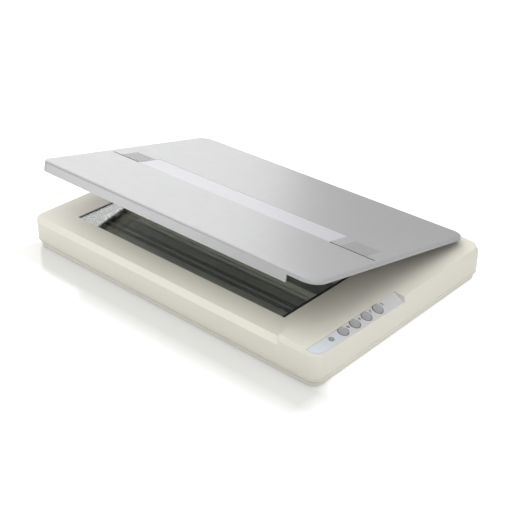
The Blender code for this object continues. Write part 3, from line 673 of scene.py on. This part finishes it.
def panel_height(x, y):
    """The film's upper face: two straight edges, joined across."""
    back = min(max((y + 0.1965) / 0.1915, 0), 1)
    inner, outer = 0.0572 - 0.0006 * back, 0.0550 - 0.0080 * back
    across = min(max((x - 0.275) / 0.0195, 0), 1)
    return inner + (outer - inner) * across


def film_ring(bm, y, radius, lift):
    """Points round a button at a height above the film, or level with its flange where lift is None."""
    ring = []
    for spot in circle(radius, RING_STEPS if radius else 1):
        px, py = BUTTON_X + spot.x, y + spot.y
        z = FLANGE_TOP if lift is None else panel_height(px, py) + lift
        ring.append(bm.verts.new((px, py, z)))
    return ring


def printed_ring(bm, y, inner, outer):
    rows = [film_ring(bm, y, *row) for row in ((inner, -0.0002), (inner, 0.0001), (outer, 0.0001), (outer, -0.0002))]
    for low, high in zip(rows, rows[1:] + rows[:1]):
        for i in range(RING_STEPS):
            j = (i + 1) % RING_STEPS
            bm.faces.new((low[i], low[j], high[j], high[i]))


def bar(bm, x, y, across, along, degrees=0):
    """A printed bar: a prism only as thick as ink, which follows the film's slope."""
    turn = Matrix.Rotation(math.radians(degrees), 2)
    half = (across / 2, along / 2)
    corners = [turn @ Vector((a * half[0], b * half[1])) for a, b in ((-1, -1), (1, -1), (1, 1), (-1, 1))]
    rows = []
    for lift in (-0.0001, 0.00007):
        rows.append([bm.verts.new((x + a, y + b, panel_height(x + a, y + b) + lift)) for a, b in corners])
    join_rings(bm, rows, len(corners))


def outlined(bm, x, y, across, along, line=0.0006):
    for side in (-1, 1):
        bar(bm, x + side * across / 2, y, line, along + line)
        bar(bm, x, y + side * along / 2, across + line, line)


bm = bmesh.new()
for y in BUTTON_YS:
    printed_ring(bm, y, 0.00765, 0.00825)
printed_ring(bm, LIGHT_Y, 0.0034, 0.0039)
for degrees in range(0, 360, 45):
    away = Matrix.Rotation(math.radians(degrees), 2) @ Vector((0.0049, 0))
    bar(bm, BUTTON_X + away.x, LIGHT_Y + away.y, 0.0009, 0.0004, degrees)
outlined(bm, MARK_X, -0.1175, 0.0028, 0.0020)
outlined(bm, MARK_X + 0.0012, -0.1163, 0.0028, 0.0020)
bar(bm, MARK_X, -0.0912, 0.0046, 0.0008)
bar(bm, MARK_X, -0.0925, 0.0028, 0.0007)
bar(bm, MARK_X, -0.0899, 0.0036, 0.0007)
outlined(bm, MARK_X, -0.0657, 0.0042, 0.0028)
bar(bm, MARK_X - 0.0008, -0.0657, 0.0005, 0.0026, 35)
bar(bm, MARK_X + 0.0008, -0.0657, 0.0005, 0.0026, -35)
outlined(bm, MARK_X, -0.0405, 0.0036, 0.0032)
bar(bm, MARK_X, -0.0397, 0.0020, 0.0009)
assemble("panel_marks", bm, ink, "base")
print("rings:", len(BUTTON_YS) + 1, "marks: 4")

# %% Dished buttons
dish = (
    (1, None), (1, 0.0004), (0.985, 0.0008), (0.95, 0.0010), (0.90, 0.0010), (0.80, 0.0008), (0.60, 0.0005),
    (0.35, 0.0003), (0, 0.0002),
)  # share of the radius, and height above the film
stem = [(0, 0.0362), (0.0018, 0.0362), (0.0020, 0.0364), (0.0020, 0.0395)]
flange = [(0, 0.0395), (0.0083, 0.0395), (0.0085, 0.0397), (0.0085, 0.0403), (0.0083, 0.0405)]
for number, y in enumerate(BUTTON_YS, 1):
    bm = bmesh.new()
    join_rings(bm, [film_ring(bm, y, share * BUTTON_RADIUS, lift) for share, lift in dish], RING_STEPS)
    turned(bm, at(BUTTON_X, y, 0), stem, 24)
    turned(bm, at(BUTTON_X, y, 0), flange)
    node = f"button_{number}"
    assemble(f"{node}_cap", bm, finishes["button_grey"], node, instead_of=(node,))
print("buttons:", len(BUTTON_YS))

# %% [markdown]
# ## Round the glass and beneath it
#
# A thin black strip round the window's edge is painted shade, standing for the shadowed recess beside the glass.
# Under the glass lie a dark liner with long ribs, which stiffen the floor and stop stray light; the liner's dark tone
# is partly painted shade for the shadow under the lid, and the ribs' pale tone is partly painted reflection. The
# sensor bar with its lens row and light guide lies there too.

# %% Painted edge shade, liner and ribs
# Painted shade: black strips laid on the glass along its edges stand for the shadowed recess at the window's side
# walls.
bm = bmesh.new()
for left, right, front, back in (
    (-0.2350, -0.2335, -0.1530, 0.1500),
    (0.1945, 0.2000, -0.1530, 0.1500),
    (-0.2350, 0.2000, -0.1530, -0.1520),
    (-0.2350, 0.2000, 0.1490, 0.1500),
):
    block(bm, (left, front, 0.05052), (right, back, 0.05085))
assemble("window_gasket", bm, shadow_black, "base")

# The liner's dark tone is partly painted shade, for the shadow under the lid, and the ribs' pale tone is partly
# painted reflection, for bright bands seen through the glass.
liner_grey = moulded_plastic("liner_grey", (0.200, 0.197, 0.165), 0.50, pebble=300)
rib_grey = moulded_plastic("rib_grey", (0.72, 0.70, 0.58), 0.42, pebble=300)
bm = bmesh.new()
block(bm, (-0.2870, -0.1880, 0.00405), (0.2440, 0.1880, 0.00480))
assemble("floor_liner", bm, liner_grey, "base")

RIB_LEFT, RIB_RIGHT, RIB_FOOT, RIB_TAPER, RIB_STEPS = -0.2880, 0.2400, 0.0046, 0.012, 8


def long_rib(bm, y, half, height):
    """A rounded rib along X that tapers into the floor at both ends."""
    rows = []
    for x, share in (
        (RIB_LEFT, 0.05), (RIB_LEFT + RIB_TAPER, 1), (RIB_RIGHT - RIB_TAPER, 1), (RIB_RIGHT, 0.05)
    ):
        turns = [math.pi * i / RIB_STEPS for i in range(RIB_STEPS + 1)]
        arch = [(x, y - half * math.cos(turn), RIB_FOOT + share * height * math.sin(turn)) for turn in turns]
        rows.append([bm.verts.new(spot) for spot in arch])
    join_rings(bm, rows, RIB_STEPS + 1)


bm = bmesh.new()
rib_rows = (
    (-0.152, 0.0070, 0.0085),
    (-0.126, 0.0085, 0.0105),
    (-0.033, 0.0075, 0.0080),
    (0.028, 0.0090, 0.0100),
    (0.060, 0.0090, 0.0110),
    (0.092, 0.0090, 0.0110),
    (0.121, 0.0080, 0.0090),
)  # place along Y, half width and height
for y, half, height in rib_rows:
    long_rib(bm, y, half, height)
assemble("floor_ribs", bm, rib_grey, "base")
print("painted_edge_shade, liner and ribs:", len(rib_rows))

# %% Sensor lens row and light guide
LENSES, LENS_PITCH = 74, 0.0040
lens_profile = [(0.0016, 0), (0.0016, 0.0006), (0.0008, 0.0007), (0, 0.00072)]
bm = bmesh.new()
for i in range(LENSES):
    turned(bm, at(-0.2600, -0.1490 + i * LENS_PITCH, 0.0450), lens_profile, 12)
assemble("sensor_lens_row", bm, finishes["sensor_glass"], "carriage")
bm = bmesh.new()
block(bm, (-0.2660, -0.1520, 0.0448), (-0.2632, 0.1470, 0.04565))
assemble("sensor_light_guide", bm, finishes["target_white"], "carriage", width=0.0003)
print("lenses:", LENSES)

# %% [markdown]
# ## Drive, springs and electronics
#
# A toothed belt pulls the carriage. Springs are smooth coils with closed ends. The main board carries chips and
# capacitors, and each button has a small switch beneath it.

# %% Belt teeth and coils
TEETH, TOOTH_PITCH, TOOTH_WIDTH = 248, 0.0020, 0.0010
bm = bmesh.new()
for i in range(TEETH):
    x = -0.2700 + i * TOOTH_PITCH
    for front in (-0.0915, -0.0789):
        block(bm, (x, front, 0.0102), (x + TOOTH_WIDTH, front + 0.0004, 0.0158))
assemble("belt_teeth", bm, finishes["rubber"], "base")


def coil_path(radius, length, turns, closed=0.8, per_turn=28):
    """Points of a helix along Z whose end turns lie flat."""
    path = []
    for i in range(int((turns + 2 * closed) * per_turn) + 1):
        turn = i / per_turn
        climb = min(max(turn - closed, 0), turns) / turns
        flat = 0.06 * (min(turn, closed) + max(turn - closed - turns, 0)) / closed
        angle = math.tau * turn
        path.append(Vector((radius * math.cos(angle), radius * math.sin(angle), length * (0.88 * climb + flat))))
    return path


steel = finishes["steel"]
for end, y in (("front", -0.120), ("rear", 0.115)):
    bm = bmesh.new()
    swept(bm, [spot + Vector((-0.262, y, 0.0280)) for spot in coil_path(0.0034, 0.0040, 3)], 0.00042)
    node = f"sensor_spring_{end}"
    assemble(f"{node}_coil", bm, steel, "carriage", instead_of=(node,))
bm = bmesh.new()
along_x = Matrix.Rotation(math.radians(90), 4, "Y")
axis = Vector((0, -0.0850, 0.0067))
middle = [along_x @ spot + axis + Vector((-0.2590, 0, 0)) for spot in coil_path(0.00180, 0.0166, 12, 0.5)]
hook = [axis + Vector((-0.2618, 0, 0.0012)), axis + Vector((-0.2612, 0, -0.0004))]
tail = [axis + Vector((-0.2412, 0, -0.0004)), axis + Vector((-0.2404, 0, 0.0012))]
swept(bm, hook + middle + tail, 0.00040)
assemble("tension_spring_coil", bm, steel, "base", instead_of=("tension_spring",))
print("belt teeth:", 2 * TEETH, "coils: 3")

# %% Boards
BOARD_TOP, PIN_PITCH, PIN_WIDTH = 0.0136, 0.0010, 0.0004
bm = bmesh.new()
chips = (
    (0.2560, 0.0850, 0.2740, 0.1030, 0.0152),
    (0.2520, 0.1180, 0.2610, 0.1300, 0.0148),
    (0.2660, 0.1180, 0.2750, 0.1300, 0.0148),
    (0.2560, 0.1440, 0.2680, 0.1520, 0.0150),
    (0.2500, 0.0480, 0.2580, 0.0560, 0.0150),
)  # left, front, right, back and top
for left, front, right, back, top in chips:
    block(bm, (left, front, BOARD_TOP + 0.0002), (right, back, top))
assemble("board_chips", bm, finishes["black_plastic"], "base", width=0.0002)


def pins(bm, x, y, count, reach, top, along_x):
    """A row of solder pins that starts at x, y and runs along X or along Y."""
    for i in range(count):
        if along_x:
            left, front, wide, deep = x + i * PIN_PITCH, y, PIN_WIDTH, reach
        else:
            left, front, wide, deep = x, y + i * PIN_PITCH, reach, PIN_WIDTH
        block(bm, (left, front, BOARD_TOP), (left + wide, front + deep, top))


bm = bmesh.new()
for x in (0.2545, 0.2738):
    pins(bm, x, 0.0865, 16, 0.0017, 0.0142, along_x=False)
for y in (0.0835, 0.1028):
    pins(bm, 0.2575, y, 16, 0.0017, 0.0142, along_x=True)
for x in (0.2528, 0.2668):
    for y in (0.1168, 0.1298):
        pins(bm, x, y, 8, 0.0014, 0.0141, along_x=True)
can_profile = [
    (0, 0), (0.0030, 0), (0.0030, 0.0010), (0.0028, 0.0014), (0.0030, 0.0018), (0.0030, 0.0078),
    (0.0026, 0.0082), (0, 0.0082),
]
for x, y in ((0.280, 0.060), (0.280, 0.072), (0.280, 0.160), (0.254, 0.070)):
    turned(bm, at(x, y, BOARD_TOP), can_profile, 24)
for y in BUTTON_YS:
    block(bm, (0.2795, y - 0.0030, 0.0346), (0.2855, y + 0.0030, 0.0350))
assemble("board_metal", bm, finishes["port_steel"], "base")
print("chips:", len(chips), "pins: 96, capacitors: 4, switches:", len(BUTTON_YS))

# %% Ports
bm = bmesh.new()
block(bm, (0.2536, 0.1866, 0.0180), (0.2584, 0.1950, 0.0206))
assemble("usb_tongue", bm, finishes["sheet_white"], "base", width=0.0003)
bm = bmesh.new()
for x in (0.2546, 0.2566):
    for low in (0.0205, 0.0178):
        block(bm, (x, 0.1870, low), (x + 0.0008, 0.1944, low + 0.0003))
turned(bm, at(0.2730, 0.1862, 0.0195, -90), [(0.0009, 0), (0.0009, 0.0078), (0.0006, 0.0083), (0, 0.0085)], 20)
assemble("port_contacts", bm, copper, "base")
print("usb tongue and power pin")

# %% [markdown]
# ## The underside
#
# Rubber feet have rings that grip the desk, and six cross-headed screws hold the two halves of the case together.

# %% Feet and case screws
foot_profile = [
    (0, 0.0005), (0.0022, 0.0005), (0.0026, 0), (0.0036, 0), (0.0040, 0.0005), (0.0046, 0.0005), (0.0050, 0),
    (0.0066, 0), (0.0074, 0.0004), (0.0079, 0.0010), (0.0080, 0.0022), (0, 0.0022),
]
for number, (x, y) in enumerate(((-0.255, -0.150), (-0.255, 0.150), (0.255, -0.150), (0.255, 0.150)), 1):
    bm = bmesh.new()
    turned(bm, at(x, y, 0), foot_profile, 48)
    node = f"rubber_foot_{number}"
    assemble(f"{node}_ringed", bm, finishes["rubber"], "base", instead_of=(node,))

shank_profile = [(0, 0.0027), (0.0014, 0.0027), (0.0014, 0.0150), (0.0006, 0.0160), (0, 0.0160)]
screw_spots = [(x, y) for x in (-0.252, 0.010, 0.240) for y in (-0.180, 0.172)]
screw_nodes = tuple(f"case_screw_{number}" for number in range(1, len(screw_spots) + 1))
bm = bmesh.new()
for x, y in screw_spots:
    cross_screw(bm, at(x, y, 0.0027, 180), 0.0030, 0.0009)
    turned(bm, at(x, y, 0), shank_profile, 16)
assemble("case_screws", bm, finishes["screw_zinc"], "base", instead_of=screw_nodes)
print("feet: 4, screws:", len(screw_spots))

# %% [markdown]
# ## The floor
#
# A pale, slightly glossy sweep carries the soft shadow. A darker band is painted into its colour and glow before the
# scanner, as painted shade and painted reflection where a polished table would mirror the case's front, and the band
# fades out towards both ends.

# %% Floor
HALF_WIDTH, HALF_DEPTH = 0.2945, 0.1985
bm = bmesh.new()
bmesh.ops.create_grid(bm, x_segments=1, y_segments=1, size=20)
mesh = bpy.data.meshes.new("floor")
bm.to_mesh(mesh)
bm.free()
floor = bpy.data.objects.new("floor", mesh)

sweep = Finish("floor", (0.70, 0.70, 0.70), 0.14, emission_strength=0.42)
beside = sweep.math("ABSOLUTE", sweep.axis("X")) - HALF_WIDTH
before = -HALF_DEPTH - sweep.axis("Y")
ends = sweep.node("ShaderNodeClamp", inputs={0: 1 - beside / 0.06})
start = sweep.node("ShaderNodeClamp", inputs={0: 1 + before / 0.04})
# Painted shade: this band darkens the floor's colour and glow in front of the case, standing for its shadow and its
# reflection in a polished table.
painted_shade_band = sweep.node("ShaderNodeClamp", inputs={0: 1.5 - before / 0.070}) * ends * start
sweep.colour(sweep.blend(painted_shade_band, (0.70, 0.70, 0.70), (0.42, 0.42, 0.41)))
sweep.set(sweep.shader, "Emission Color", sweep.blend(painted_shade_band, (1.0, 1.0, 1.0), (0.44, 0.44, 0.43)))
mesh.materials.append(sweep.material)
bpy.context.scene.collection.objects.link(floor)
print("floor laid")
